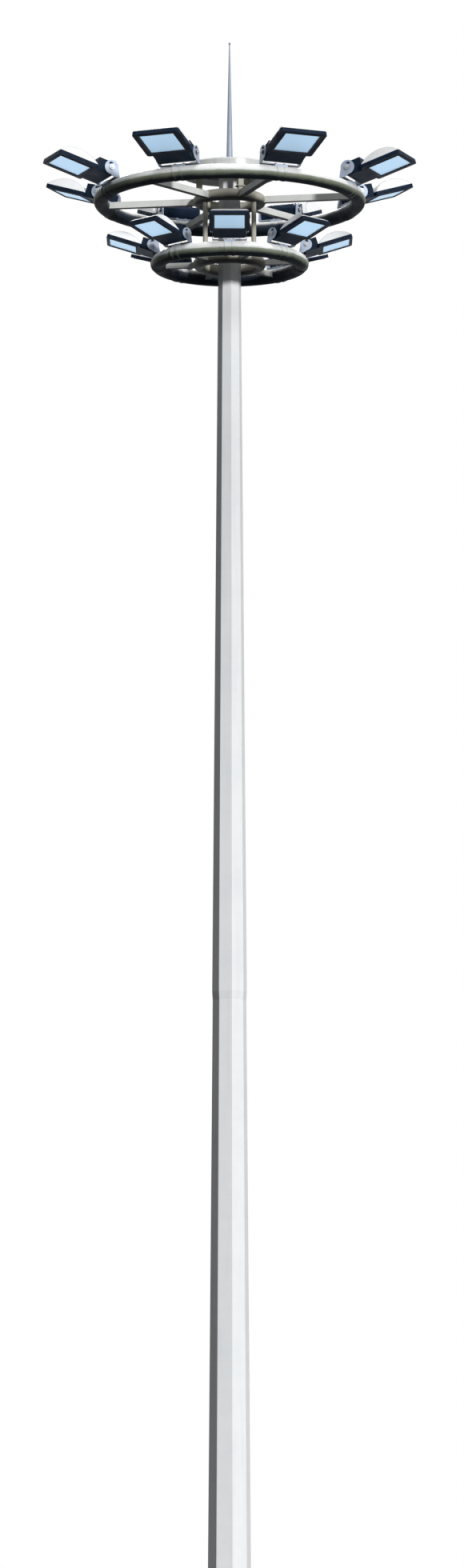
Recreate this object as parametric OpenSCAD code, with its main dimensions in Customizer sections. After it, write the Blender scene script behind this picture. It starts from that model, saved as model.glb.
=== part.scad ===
// High mast floodlight tower with a raise-and-lower lamp carriage.
// Millimetres, +Z up, front towards -Y. The origin is the centre of the base flange's underside.

/* [Mast] */
// Height of the top of the mast tube
mast_top_z = 17885; // [17600:5:18400]
// Width across corners at the foot
mast_foot_w = 509; // [490:1:520]
// Width across corners at the top
mast_top_w = 235; // [210:1:260]
// Wall of both mast sections
mast_wall = 6; // [4:0.5:9]
// Number of flat faces
mast_faces = 8; // [8, 10, 12]
// Turn of a corner from straight ahead
mast_turn = 8; // [0:1:20]
// Height of the upper section's lower end
slip_z = 8800; // [8000:50:9600]
// Overlap of the two sections
slip_len = 700; // [500:10:900]
// Clearance in the slip joint
slip_gap = 0.3; // [0.1:0.1:0.5]

/* [Base] */
// Diameter of the base flange
flange_d = 800; // [760:5:900]
// Thickness of the base flange
flange_t = 30; // [20:1:45]
// Distance from an anchor hole's centre to the flange's rim
bolt_edge = 55; // [45:1:70]
// Diameter of an anchor hole
bolt_hole_d = 40; // [24:1:46]
// Height of a gusset
gusset_h = 260; // [180:5:320]
// Distance from a gusset's end to the flange's rim
gusset_edge = 30; // [20:1:60]
// Thickness of a gusset
gusset_t = 14; // [8:1:20]
// Width of a gusset's top and height of its nose
gusset_nose = 25; // [15:1:40]

/* [Service door] */
// Width of the door cover
door_w = 150; // [120:1:165]
// Height of the door cover
door_h = 640; // [400:10:760]
// Thickness of the door cover
door_t = 6; // [4:0.5:10]
// Height of the door's centre
door_z = 950; // [850:10:1050]
// Overlap of the cover on the wall round the opening
door_lap = 18; // [12:1:24]

/* [Head] */
// Radius of the head plate on the mast
head_plate_r = 180; // [150:1:220]
// Thickness of the head plate
head_plate_t = 15; // [8:1:24]
// Side of a head arm's square tube
arm_s = 70; // [62:1:80]
// Wall of a head arm
arm_wall = 5; // [3:0.5:8]
// Reach of a head arm from the axis
arm_r = 420; // [390:5:470]
// Radius of the boss where the arms meet
head_boss_r = 80; // [65:1:100]
// Gap between the arms and what they carry
seat_gap = 0.2; // [0.1:0.1:0.6]
// Radius of the rain hood
hood_r = 540; // [500:5:600]
// Drop of the hood's skirt below the arms' tops
hood_skirt = 80; // [40:1:110]
// Thickness of the hood's sheet
hood_t = 4; // [2:0.5:8]
// Chamfer at the hood's rim
hood_chamfer = 14; // [6:1:24]
// Radius where the hood starts to rise
hood_cone_r = 300; // [240:5:380]
// Rise of the hood's middle
hood_rise = 55; // [30:1:80]
// Radius of the hood's flat middle
hood_flat_r = 85; // [75:1:110]
// Diameter of the spire's spigot
spigot_d = 56; // [40:1:66]
// Clearance of the spigot in the hood
spigot_gap = 0.3; // [0.1:0.1:0.5]
// Diameter of the spire's foot
spire_foot_d = 130; // [110:1:150]
// Thickness of the spire's foot
spire_foot_t = 10; // [6:1:16]
// Diameter of the spire at its foot
spire_d = 72; // [60:1:90]
// Diameter of the spire at its tip
spire_tip_d = 12; // [8:1:20]
// Length of the spire above its foot
spire_len = 1350; // [900:10:1500]
// Diameter of the finial
finial_d = 26; // [22:1:36]

/* [Carriage] */
// Height of the upper ring's plane
upper_z = 17600; // [17500:5:17620]
// Distance between the ring planes
ring_gap = 710; // [690:5:800]
// Centre radius of the upper ring
upper_r = 1425; // [1380:5:1500]
// Centre radius of the lower ring
lower_r = 790; // [770:5:830]
// Diameter of the ring pipe
pipe_d = 160; // [140:1:165]
// Wall of the ring pipe
pipe_wall = 6; // [4:0.5:9]
// Centre radius of the hub rings
hub_r = 340; // [336:1:360]
// Diameter of the hub pipe
hub_d = 130; // [120:1:135]
// Wall of the hub pipe
hub_wall = 6; // [4:0.5:9]
// Diameter of a drain hole in the pipes
drain_d = 14; // [10:1:20]
// Spokes in each plane
spoke_n = 6; // [3, 6]
// Turn of the first spoke from straight ahead
spoke_turn = 20; // [15:1:25]
// Side of an upper spoke's square tube
upper_spoke_s = 70; // [60:1:80]
// Side of a lower spoke's square tube
lower_spoke_s = 58; // [50:1:70]
// Wall of the spokes
spoke_wall = 4; // [3:0.5:6]
// Turn of the posts from straight ahead and from straight behind
post_turn = 52; // [48:1:56]
// Diameter of a post
post_d = 52; // [40:1:60]
// Wall of a post
post_wall = 4; // [3:0.5:6]
// Side of a docking pad on the upper hub
pad_s = 50; // [40:1:56]
// Height of a docking pad above the hub pipe
pad_h = 25; // [18:1:32]
// Docking legs
leg_n = 3; // [3]
// Gap between a docking leg and its pad
dock_gap = 0.3; // [0.1:0.1:0.6]
// Side of a docking leg's square tube
leg_s = 60; // [54:1:66]
// Wall of a docking leg
leg_wall = 5; // [3:0.5:8]
// Side of a docking leg's foot
foot_s = 90; // [80:1:100]
// Thickness of a docking leg's foot
foot_t = 10; // [6:1:16]

/* [Yokes] */
// Distance of the tilt axis outside the ring's centre line
pivot_out = 65; // [55:1:80]
// Height of the tilt axis above the ring's plane
pivot_up = 200; // [195:1:220]
// Clear width between a yoke's arms
yoke_gap = 442; // [436:1:460]
// Thickness of a yoke's plates
yoke_t = 8; // [6:0.5:10]
// Radius of a yoke arm's round head
yoke_head_r = 80; // [74:1:86]
// Share of the round head's radius at which the arm's edges run into it
neck_share = 0.94; // [0.8:0.01:0.97]
// Width of a yoke's strap
strap_w = 60; // [50:1:64]
// Gap between the ring pipe's crown and the strap
strap_lift = 10; // [6:1:12]
// Width of a yoke's saddle across the pipe
saddle_w = 100; // [80:1:110]
// Length of a yoke's saddle along the pipe
saddle_len = 150; // [100:5:200]
// Grip of a saddle down the pipe's sides
saddle_grip = 26; // [21:1:32]
// Diameter of a trunnion pin
pin_d = 24; // [18:1:28]
// Radial clearance of a trunnion pin
pin_gap = 0.05; // [0.03:0.01:0.1]
// Side clearance of a lamp in its yoke
side_gap = 0.3; // [0.2:0.1:0.8]
// Radius of the lock bolt's path
lock_r = 50; // [46:1:54]
// Diameter of the lock bolt
lock_d = 12; // [8:1:14]
// Clearance of the lock bolt in its slot
lock_gap = 1; // [0.6:0.1:1.5]

/* [Lamps] */
// Lamps on each ring
lamp_n = 8; // [8]
// Size of a lower lamp as a share of an upper one
lower_share = 0.82; // [0.75:0.01:0.9]
// Tilt of a lamp at rest, outer end up
lamp_tilt = 17; // [10:1:22]
// Tilt travel downwards from rest
tilt_down = 17; // [10:1:20]
// Tilt travel upwards from rest
tilt_up = 30; // [20:1:32]
// Sheet of a lamp's housing
lamp_wall = 4; // [3:0.5:5]
// Distance from the tilt axis to the front frame
frame_u = 154; // [145:1:165]
// Length of the front frame
frame_l = 473; // [450:1:490]
// Width of the front frame
frame_w = 540; // [520:1:560]
// Depth of the front frame
frame_t = 45; // [38:1:52]
// Corner radius of the front frame
frame_corner = 28; // [18:1:40]
// Depth of the frame's face below the tilt axis
face_drop = 93; // [88:1:96]
// Length of the window in the front frame
window_l = 365; // [330:1:380]
// Width of the window in the front frame
window_w = 400; // [370:1:420]
// Width of the frame's border at its outer end
window_rim = 44; // [38:1:54]
// Corner radius of the window
window_corner = 14; // [8:1:20]
// Overlap of the glass on the frame
glass_lap = 15; // [10:1:20]
// Thickness of the glass
glass_t = 5; // [4:0.5:8]
// Height of the domed back above the front frame
dome_h = 110; // [90:1:125]
// Step from the front frame's edge to the dome
dome_step = 8; // [6:1:14]
// Draw-in of the dome's ends at its top
dome_draft = 62; // [40:1:80]
// Length of the gear box behind the tilt axis
gear_back = 50; // [40:1:56]
// Width of the gear box
gear_w = 420; // [400:1:424]
// Height of the gear box above the tilt axis
gear_top = 62; // [58:1:68]
// Chamfer of the gear box's edges
gear_chamfer = 25; // [20:1:30]
// Cooling ribs on the gear box
rib_n = 9; // [5:1:10]
// Distance between two cooling ribs
rib_pitch = 36; // [28:1:40]
// Height of a cooling rib
rib_h = 12; // [8:1:16]
// Thickness of a cooling rib at its root
rib_t = 7; // [5:0.5:9]
// Thickness of a cooling rib at its crest
rib_crest = 4; // [3:0.5:5]
// Distance from a cooling rib to the gear box's end
rib_rim = 8; // [4:1:14]
// Diameter of a trunnion boss
boss_d = 56; // [44:1:62]
// Diameter of a trunnion knob
knob_d = 44; // [36:1:52]
// Thickness of a trunnion knob
knob_t = 14; // [8:1:20]
// Turn of the lock bolt from the lamp's own axis
lock_turn = 58; // [54:1:62]
// Diameter of the lock bolt's head
lock_head_d = 22; // [20:1:26]
// Thickness of the lock bolt's head
lock_head_t = 8; // [6:1:12]

/* [Hidden] */
LAMPS = [for (i = [1:lamp_n]) i];

// Overlap that makes a union or a cut certain
eps = 0.5;
// Facets of the round forms
fine = 192;
medium = 48;

// Flat-to-corner ratio of the mast's polygon
flat_ratio = cos(180 / mast_faces);
// Corner radius lost per millimetre of height
mast_slope = (mast_foot_w / 2 - mast_top_w / 2 + (slip_gap + mast_wall) / flat_ratio) / mast_top_z;
// Corner radius of the lower section's outside, then the upper section's
function lower_rc(z) = mast_foot_w / 2 - mast_slope * z;
function upper_rc(z) = lower_rc(z) + (slip_gap + mast_wall) / flat_ratio;
// Distance from the axis to the middle of a face of the lower section
function lower_flat(z) = lower_rc(z) * flat_ratio;
// Lean of a mast face from upright
face_lean = atan(mast_slope * flat_ratio);

// Anchor bolt circle and reach of a gusset, from the flange's rim
bolt_pcd = flange_d - 2 * bolt_edge;
gusset_reach = flange_d / 2 - lower_flat(flange_t) - gusset_edge;

// Heights in the head
arm_z = mast_top_z + head_plate_t;
hood_z = arm_z + arm_s + seat_gap;
spire_z = hood_z + hood_rise + hood_t;

// Heights in the carriage
lower_z = upper_z - ring_gap;
pipe_r = pipe_d / 2;
hub_pipe_r = hub_d / 2;
pad_top = upper_z + hub_pipe_r + pad_h;
leg_z = pad_top + dock_gap;

// Yoke, measured from the ring's centre line
strap_z = pipe_r + strap_lift;
yoke_out = yoke_gap / 2 + yoke_t;
pin_r = pin_d / 2;

// Lamp, measured from its tilt axis
frame_end = frame_u + frame_l;
frame_top = -face_drop + frame_t;
window_end = frame_end - window_rim;
window_mid = window_end - window_l / 2;
frame_mid = frame_u + frame_l / 2;
dome_chord = frame_l - 2 * dome_step;
dome_r = (dome_chord * dome_chord / 4 + dome_h * dome_h) / (2 * dome_h);
dome_axis = frame_top + dome_h - dome_r;
gear_end = frame_u + lamp_wall;

function upper_az(i) = 360 / lamp_n * (i - 0.5);
function lower_az(i) = 360 / lamp_n * (i - 1);

// Turns the outward radius to an azimuth counted from the front
module at_az(az) rotate([0, 0, az - 90]) children();

// Tapered polygon bar between two heights
module mast_bar(z0, z1, r0, r1)
    rotate([0, 0, mast_turn - 90])
        translate([0, 0, z0])
            cylinder(h = z1 - z0, r1 = r0, r2 = r1, $fn = mast_faces);

// Upright slot outline with round ends, standing on a mast face
module on_face(z)
    rotate([0, 0, mast_turn - 90 - 180 / mast_faces])
        translate([lower_flat(z), 0, z])
            rotate([0, 90 - face_lean, 0])
                children();

module slot_outline(len, w) {
    square([len - w, w], center = true);
    for (s = [-1, 1]) translate([s * (len - w) / 2, 0]) circle(d = w, $fn = medium);
}

module rounded(l, w, r) {
    square([l - 2 * r, w], center = true);
    square([l, w - 2 * r], center = true);
    for (x = [-1, 1], y = [-1, 1])
        translate([x * (l / 2 - r), y * (w / 2 - r)]) circle(r = r, $fn = medium);
}

// Solid ring of round bar, then the same ring as a drained pipe
module torus(r, d) rotate_extrude($fn = fine) translate([r, 0]) circle(d = d, $fn = medium);

module pipe_ring(r, d, wall)
    difference() {
        rotate_extrude($fn = fine)
            translate([r, 0])
                difference() {
                    circle(d = d, $fn = medium);
                    circle(d = d - 2 * wall, $fn = medium);
                }
        for (i = [0:spoke_n - 1])
            at_az(spoke_turn + (i + 0.5) * 360 / spoke_n)
                translate([r, 0, -d])
                    cylinder(d = drain_d, h = d, $fn = 24);
    }

module base_flange()
    color("gainsboro")
        difference() {
            cylinder(d = flange_d, h = flange_t, $fn = fine);
            for (i = [0:mast_faces - 1])
                rotate([0, 0, mast_turn - 90 + i * 360 / mast_faces])
                    translate([bolt_pcd / 2, 0, -eps])
                        cylinder(d = bolt_hole_d, h = flange_t + 2 * eps, $fn = medium);
        }

module base_gussets() {
    top = flange_t + gusset_h;
    color("gainsboro")
        for (i = [0:mast_faces - 1])
            rotate([0, 0, mast_turn - 90 + (i + 0.5) * 360 / mast_faces])
                rotate([90, 0, 0])
                    linear_extrude(gusset_t, center = true)
                        polygon([
                            [lower_flat(flange_t), flange_t],
                            [lower_flat(flange_t) + gusset_reach, flange_t],
                            [lower_flat(flange_t) + gusset_reach, flange_t + gusset_nose],
                            [lower_flat(top) + gusset_nose, top],
                            [lower_flat(top), top]]);
}

module mast_lower_section() {
    top = slip_z + slip_len;
    inset = mast_wall / flat_ratio;
    color("whitesmoke")
        difference() {
            mast_bar(flange_t, top, lower_rc(flange_t), lower_rc(top));
            mast_bar(flange_t - 1, top + 1, lower_rc(flange_t - 1) - inset, lower_rc(top + 1) - inset);
            on_face(door_z)
                linear_extrude(8 * mast_wall, center = true)
                    slot_outline(door_h - 2 * door_lap, door_w - 2 * door_lap);
        }
}

module mast_upper_section() {
    inset = mast_wall / flat_ratio;
    color("whitesmoke")
        difference() {
            mast_bar(slip_z, mast_top_z, upper_rc(slip_z), upper_rc(mast_top_z));
            mast_bar(slip_z - 1, mast_top_z + 1,
                     upper_rc(slip_z - 1) - inset, upper_rc(mast_top_z + 1) - inset);
        }
}

module service_door()
    color("gainsboro")
        on_face(door_z)
            linear_extrude(door_t)
                slot_outline(door_h, door_w);

module head_frame()
    color("gainsboro")
        union() {
            translate([0, 0, mast_top_z]) cylinder(r = head_plate_r, h = head_plate_t, $fn = fine);
            translate([0, 0, arm_z - eps]) cylinder(r = head_boss_r, h = arm_s + eps, $fn = fine);
            for (i = [0:leg_n - 1])
                at_az(spoke_turn + i * 360 / leg_n)
                    difference() {
                        translate([0, -arm_s / 2, arm_z]) cube([arm_r, arm_s, arm_s]);
                        translate([head_boss_r + arm_wall, -arm_s / 2 + arm_wall, arm_z + arm_wall])
                            cube([arm_r, arm_s - 2 * arm_wall, arm_s - 2 * arm_wall]);
                    }
        }

module head_hood()
    color("gainsboro")
        translate([0, 0, hood_z])
            rotate_extrude($fn = fine)
                polygon([
                    [hood_r - hood_t, -hood_skirt],
                    [hood_r, -hood_skirt],
                    [hood_r, hood_t - hood_chamfer],
                    [hood_r - hood_chamfer, hood_t],
                    [hood_cone_r, hood_t],
                    [hood_flat_r, hood_t + hood_rise],
                    [spigot_d / 2 + spigot_gap, hood_t + hood_rise],
                    [spigot_d / 2 + spigot_gap, hood_rise],
                    [hood_flat_r, hood_rise],
                    [hood_cone_r, 0],
                    [hood_r - hood_chamfer, 0],
                    [hood_r - hood_t, -hood_chamfer + hood_t]]);

module docking_legs()
    color("wheat")
        for (i = [0:leg_n - 1])
            at_az(spoke_turn + i * 360 / leg_n)
                translate([hub_r, 0, leg_z])
                    union() {
                        translate([-foot_s / 2, -foot_s / 2, 0]) cube([foot_s, foot_s, foot_t]);
                        difference() {
                            translate([-leg_s / 2, -leg_s / 2, 0])
                                cube([leg_s, leg_s, arm_z - leg_z]);
                            translate([-leg_s / 2 + leg_wall, -leg_s / 2 + leg_wall, foot_t])
                                cube([leg_s - 2 * leg_wall, leg_s - 2 * leg_wall, arm_z - leg_z]);
                        }
                    }

module spire()
    color("lightgrey")
        union() {
            translate([0, 0, hood_z]) cylinder(d = spigot_d, h = hood_rise + hood_t + eps, $fn = medium);
            translate([0, 0, spire_z]) cylinder(d = spire_foot_d, h = spire_foot_t, $fn = medium);
            translate([0, 0, spire_z + spire_foot_t - eps])
                cylinder(d1 = spire_d, d2 = spire_tip_d, h = spire_len + eps, $fn = medium);
            translate([0, 0, spire_z + spire_foot_t + spire_len]) sphere(d = finial_d, $fn = medium);
        }

module upper_ring() color("whitesmoke") translate([0, 0, upper_z]) pipe_ring(upper_r, pipe_d, pipe_wall);

module lower_ring() color("whitesmoke") translate([0, 0, lower_z]) pipe_ring(lower_r, pipe_d, pipe_wall);

module upper_hub() {
    // The pads stop inside the pipe's wall
    pad_z = sqrt(hub_pipe_r * hub_pipe_r - pad_s * pad_s / 4) - hub_wall / 8;
    color("wheat")
        translate([0, 0, upper_z])
            union() {
                pipe_ring(hub_r, hub_d, hub_wall);
                for (i = [0:leg_n - 1])
                    at_az(spoke_turn + i * 360 / leg_n)
                        translate([hub_r - pad_s / 2, -pad_s / 2, pad_z])
                            cube([pad_s, pad_s, hub_pipe_r + pad_h - pad_z]);
            }
}

module lower_hub() color("wheat") translate([0, 0, lower_z]) pipe_ring(hub_r, hub_d, hub_wall);

// Square tubes coped to the hub pipe and to the ring pipe
module spokes(r, s)
    for (i = [0:spoke_n - 1])
        difference() {
            at_az(spoke_turn + i * 360 / spoke_n)
                difference() {
                    translate([hub_r, -s / 2, -s / 2]) cube([r - hub_r, s, s]);
                    translate([hub_r - eps, -s / 2 + spoke_wall, -s / 2 + spoke_wall])
                        cube([r - hub_r + 2 * eps, s - 2 * spoke_wall, s - 2 * spoke_wall]);
                }
            torus(hub_r, hub_d);
            torus(r, pipe_d);
        }

module upper_spokes() color("whitesmoke") translate([0, 0, upper_z]) spokes(upper_r, upper_spoke_s);

module lower_spokes() color("whitesmoke") translate([0, 0, lower_z]) spokes(lower_r, lower_spoke_s);

module hub_posts()
    color("wheat")
        for (az = [post_turn, 180 - post_turn, 180 + post_turn, -post_turn])
            difference() {
                at_az(az)
                    translate([hub_r, 0, lower_z])
                        difference() {
                            cylinder(d = post_d, h = ring_gap, $fn = medium);
                            translate([0, 0, -eps])
                                cylinder(d = post_d - 2 * post_wall, h = ring_gap + 2 * eps, $fn = medium);
                        }
                translate([0, 0, lower_z]) torus(hub_r, hub_d);
                translate([0, 0, upper_z]) torus(hub_r, hub_d);
            }

// Scales what stands on a strap to a share of its full size, seen from the strap's underside
module from_strap(share)
    translate([0, 0, strap_z]) scale(share) translate([0, 0, -strap_z]) children();

// Direction from the tilt axis to where a line from a strap corner runs into the round head
neck_r = yoke_head_r * neck_share;
function head_touch(x, side) =
    let (dx = x - pivot_out, dz = strap_z - pivot_up, d = norm([dx, dz]))
    atan2(dz, dx) + side * acos(neck_r / d);

function head_point(a) = [pivot_out + neck_r * cos(a), pivot_up + neck_r * sin(a)];

// Side plate with a trunnion bore and an arc slot for the lock bolt
module yoke_plate() {
    slot_w = lock_d + 2 * lock_gap;
    from = lock_turn + lamp_tilt - tilt_down;
    to = lock_turn + lamp_tilt + tilt_up;
    difference() {
        union() {
            translate([pivot_out, pivot_up]) circle(r = yoke_head_r, $fn = fine);
            polygon([
                [-strap_w / 2, strap_z],
                [strap_w / 2, strap_z],
                head_point(head_touch(strap_w / 2, 1)),
                [pivot_out, pivot_up],
                head_point(head_touch(-strap_w / 2, -1))]);
        }
        translate([pivot_out, pivot_up]) {
            circle(r = pin_r + pin_gap, $fn = medium);
            for (a = [from, to]) rotate(a) translate([lock_r, 0]) circle(d = slot_w - lock_gap, $fn = medium);
            intersection() {
                difference() {
                    circle(r = lock_r + slot_w / 2, $fn = fine);
                    circle(r = lock_r - slot_w / 2, $fn = fine);
                }
                polygon([[0, 0], for (a = [from, to]) 2 * lock_r * [cos(a), sin(a)]]);
            }
        }
    }
}

// Saddle coped to the ring pipe, and above it a strap and two plates of a share of the full size
module yoke(r, share)
    union() {
        difference() {
            translate([-saddle_w / 2, -saddle_len * share / 2, strap_z - strap_lift - saddle_grip])
                cube([saddle_w, saddle_len * share, strap_lift + saddle_grip + eps]);
            translate([-r, 0, 0]) rotate([0, 0, 180]) torus(r, pipe_d);
        }
        from_strap(share) {
            translate([-strap_w / 2, -yoke_out, strap_z]) cube([strap_w, 2 * yoke_out, yoke_t]);
            for (y = [-yoke_gap / 2, yoke_out])
                translate([0, y, 0]) rotate([90, 0, 0]) linear_extrude(yoke_t) yoke_plate();
        }
    }

module upper_yokes()
    color("lightslategrey")
        for (i = LAMPS) at_az(upper_az(i)) translate([upper_r, 0, upper_z]) yoke(upper_r, 1);

module lower_yokes()
    color("lightslategrey")
        for (i = LAMPS) at_az(lower_az(i)) translate([lower_r, 0, lower_z]) yoke(lower_r, lower_share);

// Domed back: a barrel vault with its ends drawn in, set in by a wall's thickness
module dome(inset) {
    intersection() {
        rotate([90, 0, 0])
            linear_extrude(frame_w, center = true)
                intersection() {
                    translate([frame_mid, dome_axis]) circle(r = dome_r - inset, $fn = fine);
                    translate([frame_u, frame_top - lamp_wall / 2]) square([frame_l, 2 * dome_h]);
                }
        rotate([90, 0, 90])
            linear_extrude(frame_end)
                polygon([
                    [-frame_w / 2 + dome_step + inset, frame_top - lamp_wall],
                    [frame_w / 2 - dome_step - inset, frame_top - lamp_wall],
                    [frame_w / 2 - dome_step - inset, frame_top],
                    [frame_w / 2 - dome_step - dome_draft - inset, frame_top + dome_h],
                    [-frame_w / 2 + dome_step + dome_draft + inset, frame_top + dome_h],
                    [-frame_w / 2 + dome_step + inset, frame_top]]);
    }
}

// Gear box outline with chamfered edges, set in by a wall's thickness
module gear_outline(inset) {
    c = gear_chamfer;
    polygon([
        [-gear_back + inset, -face_drop + c + inset * 0.4],
        [-gear_back + c + inset * 0.4, -face_drop + inset],
        [gear_end - inset, -face_drop + inset],
        [gear_end - inset, gear_top - inset],
        [-gear_back + c + inset * 0.4, gear_top - inset],
        [-gear_back + inset, gear_top - c - inset * 0.4]]);
}

// Cooling ribs on the gear box's lid: a drafted comb with sloping ends
module gear_ribs()
    intersection() {
        rotate([90, 0, 0])
            linear_extrude(gear_w, center = true)
                polygon([
                    [-gear_back + gear_chamfer, gear_top - eps],
                    [gear_end - rib_rim, gear_top - eps],
                    [gear_end - rib_rim - rib_h, gear_top + rib_h],
                    [-gear_back + gear_chamfer + rib_h, gear_top + rib_h]]);
        rotate([90, 0, 90])
            translate([0, 0, -gear_back])
                linear_extrude(gear_back + gear_end)
                    for (k = [0:rib_n - 1])
                        translate([(k - (rib_n - 1) / 2) * rib_pitch, gear_top])
                            polygon([
                                [-rib_t / 2, -2 * eps],
                                [rib_t / 2, -2 * eps],
                                [rib_crest / 2, rib_h + eps],
                                [-rib_crest / 2, rib_h + eps]]);
    }

// Trunnion boss, pin and knob, and the lock bolt beside them, on one side of the gear box
module trunnion() {
    wall = gear_w / 2 - eps;
    head = yoke_out + side_gap;
    translate([0, wall, 0]) rotate([-90, 0, 0])
        cylinder(d = boss_d, h = yoke_gap / 2 - side_gap - wall, $fn = medium);
    translate([0, wall, 0]) rotate([-90, 0, 0]) cylinder(r = pin_r, h = head - wall + eps, $fn = medium);
    translate([0, head, 0]) rotate([-90, 0, 0]) cylinder(d = knob_d, h = knob_t, $fn = medium);
    translate([lock_r * cos(lock_turn), 0, lock_r * sin(lock_turn)]) {
        translate([0, wall, 0]) rotate([-90, 0, 0]) cylinder(d = lock_d, h = head - wall + eps, $fn = 24);
        translate([0, head, 0]) rotate([-90, 0, 0]) cylinder(d = lock_head_d, h = lock_head_t, $fn = 24);
    }
}

module lamp_housing()
    difference() {
        union() {
            translate([frame_mid, 0, -face_drop])
                linear_extrude(frame_t) rounded(frame_l, frame_w, frame_corner);
            dome(0);
            rotate([90, 0, 0]) linear_extrude(gear_w, center = true) gear_outline(0);
            gear_ribs();
            trunnion();
            mirror([0, 1, 0]) trunnion();
        }
        // Window, then the room inside the frame, the dome and the gear box
        translate([window_mid, 0, -face_drop - eps])
            linear_extrude(frame_t / 2) rounded(window_l, window_w, window_corner);
        translate([frame_mid, 0, -face_drop + lamp_wall])
            linear_extrude(frame_t - 2 * lamp_wall)
                rounded(frame_l - 2 * lamp_wall, frame_w - 2 * lamp_wall, frame_corner - lamp_wall);
        difference() {
            dome(lamp_wall);
            translate([frame_u, -frame_w / 2, frame_top - 2 * lamp_wall])
                cube([lamp_wall * 2, frame_w, 3 * dome_h]);
        }
        translate([frame_mid, 0, frame_top - 2 * lamp_wall])
            linear_extrude(2 * lamp_wall)
                square([frame_l - 6 * dome_step, frame_w - 6 * dome_step], center = true);
        rotate([90, 0, 0])
            linear_extrude(gear_w - 2 * lamp_wall, center = true) gear_outline(lamp_wall + eps);
        translate([frame_u - 2 * lamp_wall, -gear_w / 4, -face_drop + 3 * lamp_wall])
            cube([4 * lamp_wall, gear_w / 2, frame_t / 3]);
    }

module lamp_glass()
    translate([window_mid, 0, -face_drop + lamp_wall])
        linear_extrude(glass_t)
            rounded(window_l + 2 * glass_lap, window_w + 2 * glass_lap, window_corner + glass_lap);

// Sets a lamp of a share of the full size on its tilt axis at its rest angle
module on_ring(az, r, z, share)
    at_az(az)
        translate([r, 0, z])
            from_strap(share)
                translate([pivot_out, 0, pivot_up]) rotate([0, -lamp_tilt, 0]) children();

module upper_housing(i) color("darkslategrey") on_ring(upper_az(i), upper_r, upper_z, 1) lamp_housing();

module upper_glass(i) color("lightblue") on_ring(upper_az(i), upper_r, upper_z, 1) lamp_glass();

module lower_housing(i)
    color("darkslategrey") on_ring(lower_az(i), lower_r, lower_z, lower_share) lamp_housing();

module lower_glass(i)
    color("lightblue") on_ring(lower_az(i), lower_r, lower_z, lower_share) lamp_glass();

base_flange();
base_gussets();
mast_lower_section();
mast_upper_section();
service_door();
head_frame();
head_hood();
docking_legs();
spire();
upper_ring();
lower_ring();
upper_hub();
lower_hub();
upper_spokes();
lower_spokes();
hub_posts();
upper_yokes();
lower_yokes();
for (i = LAMPS) upper_housing(i);
for (i = LAMPS) upper_glass(i);
for (i = LAMPS) lower_housing(i);
for (i = LAMPS) lower_glass(i);
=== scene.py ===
"""Dresses the high mast floodlight tower: paint, weathering, painted shade and reflection, lamp fittings,
light and camera.
"""

import math

import bpy
from mathutils import Matrix, Vector


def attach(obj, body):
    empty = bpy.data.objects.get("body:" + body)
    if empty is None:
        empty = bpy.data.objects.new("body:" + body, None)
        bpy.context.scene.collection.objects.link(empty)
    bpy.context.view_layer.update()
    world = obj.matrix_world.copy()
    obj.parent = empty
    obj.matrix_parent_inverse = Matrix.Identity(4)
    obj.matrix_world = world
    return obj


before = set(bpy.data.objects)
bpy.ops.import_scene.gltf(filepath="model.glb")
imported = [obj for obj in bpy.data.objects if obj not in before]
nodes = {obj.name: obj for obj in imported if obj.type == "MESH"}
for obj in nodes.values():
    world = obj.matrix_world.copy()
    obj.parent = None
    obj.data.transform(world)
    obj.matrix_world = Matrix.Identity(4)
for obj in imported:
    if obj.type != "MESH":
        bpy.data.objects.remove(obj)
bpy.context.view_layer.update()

# Rings, yokes and lamp places, in metres, in the mast's own frame
UPPER_Z = 17.600
LOWER_Z = 16.890
UPPER_R = 1.425
LOWER_R = 0.790
PIPE_R = 0.080
LAMPS_A_RING = 8
PIVOT_OUT = 0.065
PIVOT_UP = 0.200
LAMP_TILT = math.radians(17)
LOWER_SHARE = 0.82
STRAP_Z = 0.090
YOKE_T = 0.008
YOKE_OUT = 0.229

# One lamp in its own frame: x runs out from the pivot, y along the pins and z up
FRAME_U = 0.154
FRAME_L = 0.473
FRAME_W = 0.540
FRAME_TOP = -0.048
FACE_DROP = 0.093
FRAME_MID = FRAME_U + FRAME_L / 2
FRAME_END = FRAME_U + FRAME_L
WINDOW_L = 0.365
WINDOW_W = 0.400
WINDOW_RIM = 0.044
WINDOW_MID = FRAME_END - WINDOW_RIM - WINDOW_L / 2
DOME_H = 0.110
DOME_STEP = 0.008
DOME_DRAFT = 0.062
DOME_CHORD = FRAME_L - 2 * DOME_STEP
DOME_R = (DOME_CHORD ** 2 / 4 + DOME_H ** 2) / (2 * DOME_H)
DOME_AXIS = FRAME_TOP + DOME_H - DOME_R
GEAR_TOP = 0.062
GEAR_BACK = -0.050
KNOB_GAP = 0.0003
KNOB_T = 0.014
KNOB_FACE = YOKE_OUT + KNOB_GAP + KNOB_T

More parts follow.
